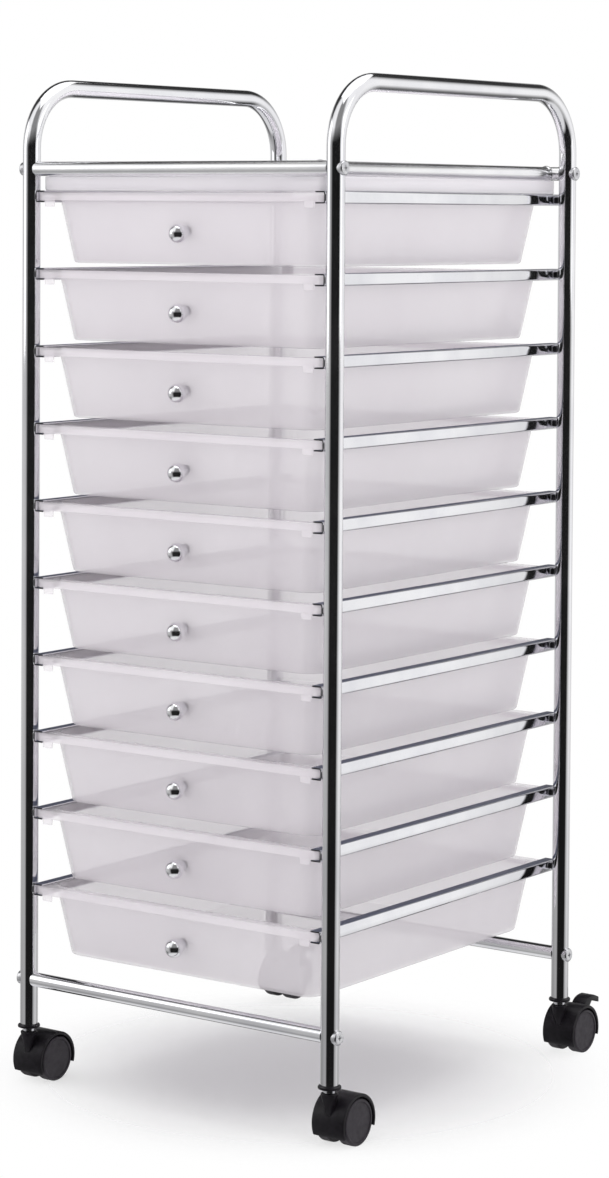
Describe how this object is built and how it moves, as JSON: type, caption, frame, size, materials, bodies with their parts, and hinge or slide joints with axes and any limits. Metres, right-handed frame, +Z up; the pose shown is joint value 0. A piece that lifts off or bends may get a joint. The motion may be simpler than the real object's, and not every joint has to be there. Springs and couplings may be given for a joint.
{
  "type": "rolling storage cart",
  "caption": "Tall rolling cart with a stack of slide-out translucent plastic drawers between two bent chrome tube side frames, a shallow top shelf and swivel casters with two brakes.",
  "frame": {"origin": "floor level, under the middle of the overall outline", "axes": "+Z up, +X to the right when facing the drawer fronts, +Y to the back, drawers open towards -Y"},
  "size_m": [0.365, 0.445, 0.904],
  "materials": {
    "chrome_tube": "polished chrome plate",
    "rail_steel": "chrome plated sheet",
    "drawer_plastic": "frosted translucent plastic",
    "tray_plastic": "clear frosted plastic",
    "knob_chrome": "polished",
    "screw_steel": "bright zinc",
    "stem_steel": "bright",
    "black_plastic": "satin black",
    "wheel_plastic": "dark grey moulded"
  },
  "bodies": {
    "cart_frame": {"left_side_frame": "chrome_tube", "right_side_frame": "chrome_tube", "left_rails": "rail_steel", "right_rails": "rail_steel", "front_crossbar": "chrome_tube", "back_crossbar": "chrome_tube", "shelf_frame": "chrome_tube", "shelf_tray": "tray_plastic", "tube_plugs": "black_plastic", "frame_screws": "screw_steel", "caster_sockets": "black_plastic"},
    "drawer_01": {"drawer_01": "drawer_plastic", "knob_01": "knob_chrome", "knob_screw_01": "screw_steel"},
    "drawer_02": {"drawer_02": "drawer_plastic", "knob_02": "knob_chrome", "knob_screw_02": "screw_steel"},
    "drawer_03": {"drawer_03": "drawer_plastic", "knob_03": "knob_chrome", "knob_screw_03": "screw_steel"},
    "drawer_04": {"drawer_04": "drawer_plastic", "knob_04": "knob_chrome", "knob_screw_04": "screw_steel"},
    "drawer_05": {"drawer_05": "drawer_plastic", "knob_05": "knob_chrome", "knob_screw_05": "screw_steel"},
    "drawer_06": {"drawer_06": "drawer_plastic", "knob_06": "knob_chrome", "knob_screw_06": "screw_steel"},
    "drawer_07": {"drawer_07": "drawer_plastic", "knob_07": "knob_chrome", "knob_screw_07": "screw_steel"},
    "drawer_08": {"drawer_08": "drawer_plastic", "knob_08": "knob_chrome", "knob_screw_08": "screw_steel"},
    "drawer_09": {"drawer_09": "drawer_plastic", "knob_09": "knob_chrome", "knob_screw_09": "screw_steel"},
    "drawer_10": {"drawer_10": "drawer_plastic", "knob_10": "knob_chrome", "knob_screw_10": "screw_steel"},
    "front_left_caster": {"front_left_caster_stem": "stem_steel", "front_left_caster_hood": "black_plastic"},
    "front_left_wheels": {"front_left_caster_axle": "stem_steel", "front_left_caster_wheels": "wheel_plastic"},
    "back_left_caster": {"back_left_caster_stem": "stem_steel", "back_left_caster_hood": "black_plastic"},
    "back_left_wheels": {"back_left_caster_axle": "stem_steel", "back_left_caster_wheels": "wheel_plastic"},
    "back_left_brake_lever": {"back_left_caster_brake_lever": "black_plastic"},
    "front_right_caster": {"front_right_caster_stem": "stem_steel", "front_right_caster_hood": "black_plastic"},
    "front_right_wheels": {"front_right_caster_axle": "stem_steel", "front_right_caster_wheels": "wheel_plastic"},
    "back_right_caster": {"back_right_caster_stem": "stem_steel", "back_right_caster_hood": "black_plastic"},
    "back_right_wheels": {"back_right_caster_axle": "stem_steel", "back_right_caster_wheels": "wheel_plastic"},
    "back_right_brake_lever": {"back_right_caster_brake_lever": "black_plastic"}
  },
  "joints": [
    {"name": "drawer_01_slide", "type": "slide", "parent": "cart_frame", "child": "drawer_01", "axis": [0, -1, 0], "range_m": [0, 0.27]},
    {"name": "drawer_02_slide", "type": "slide", "parent": "cart_frame", "child": "drawer_02", "axis": [0, -1, 0], "range_m": [0, 0.27]},
    {"name": "drawer_03_slide", "type": "slide", "parent": "cart_frame", "child": "drawer_03", "axis": [0, -1, 0], "range_m": [0, 0.27]},
    {"name": "drawer_04_slide", "type": "slide", "parent": "cart_frame", "child": "drawer_04", "axis": [0, -1, 0], "range_m": [0, 0.27]},
    {"name": "drawer_05_slide", "type": "slide", "parent": "cart_frame", "child": "drawer_05", "axis": [0, -1, 0], "range_m": [0, 0.27]},
    {"name": "drawer_06_slide", "type": "slide", "parent": "cart_frame", "child": "drawer_06", "axis": [0, -1, 0], "range_m": [0, 0.27]},
    {"name": "drawer_07_slide", "type": "slide", "parent": "cart_frame", "child": "drawer_07", "axis": [0, -1, 0], "range_m": [0, 0.27]},
    {"name": "drawer_08_slide", "type": "slide", "parent": "cart_frame", "child": "drawer_08", "axis": [0, -1, 0], "range_m": [0, 0.27]},
    {"name": "drawer_09_slide", "type": "slide", "parent": "cart_frame", "child": "drawer_09", "axis": [0, -1, 0], "range_m": [0, 0.27]},
    {"name": "drawer_10_slide", "type": "slide", "parent": "cart_frame", "child": "drawer_10", "axis": [0, -1, 0], "range_m": [0, 0.27]},
    {"name": "front_left_caster_swivel", "type": "hinge", "parent": "cart_frame", "child": "front_left_caster", "pos_m": [-0.166, -0.2125, 0.06], "axis": [0, 0, 1], "continuous": true},
    {"name": "front_left_wheels_spin", "type": "hinge", "parent": "front_left_caster", "child": "front_left_wheels", "pos_m": [-0.166, -0.19151, 0.02], "axis": [1, 0, 0], "continuous": true},
    {"name": "back_left_caster_swivel", "type": "hinge", "parent": "cart_frame", "child": "back_left_caster", "pos_m": [-0.166, 0.15949, 0.06], "axis": [0, 0, 1], "continuous": true},
    {"name": "back_left_wheels_spin", "type": "hinge", "parent": "back_left_caster", "child": "back_left_wheels", "pos_m": [-0.166, 0.18049, 0.02], "axis": [1, 0, 0], "continuous": true},
    {"name": "back_left_brake_press", "type": "hinge", "parent": "back_left_caster", "child": "back_left_brake_lever", "pos_m": [-0.166, 0.19351, 0.03301], "axis": [-1, 0, 0], "range_deg": [0, 20]},
    {"name": "front_right_caster_swivel", "type": "hinge", "parent": "cart_frame", "child": "front_right_caster", "pos_m": [0.166, -0.2125, 0.06], "axis": [0, 0, 1], "continuous": true},
    {"name": "front_right_wheels_spin", "type": "hinge", "parent": "front_right_caster", "child": "front_right_wheels", "pos_m": [0.166, -0.19151, 0.02], "axis": [1, 0, 0], "continuous": true},
    {"name": "back_right_caster_swivel", "type": "hinge", "parent": "cart_frame", "child": "back_right_caster", "pos_m": [0.166, 0.15949, 0.06], "axis": [0, 0, 1], "continuous": true},
    {"name": "back_right_wheels_spin", "type": "hinge", "parent": "back_right_caster", "child": "back_right_wheels", "pos_m": [0.166, 0.18049, 0.02], "axis": [1, 0, 0], "continuous": true},
    {"name": "back_right_brake_press", "type": "hinge", "parent": "back_right_caster", "child": "back_right_brake_lever", "pos_m": [0.166, 0.19351, 0.03301], "axis": [-1, 0, 0], "range_deg": [0, 20]}
  ]
}
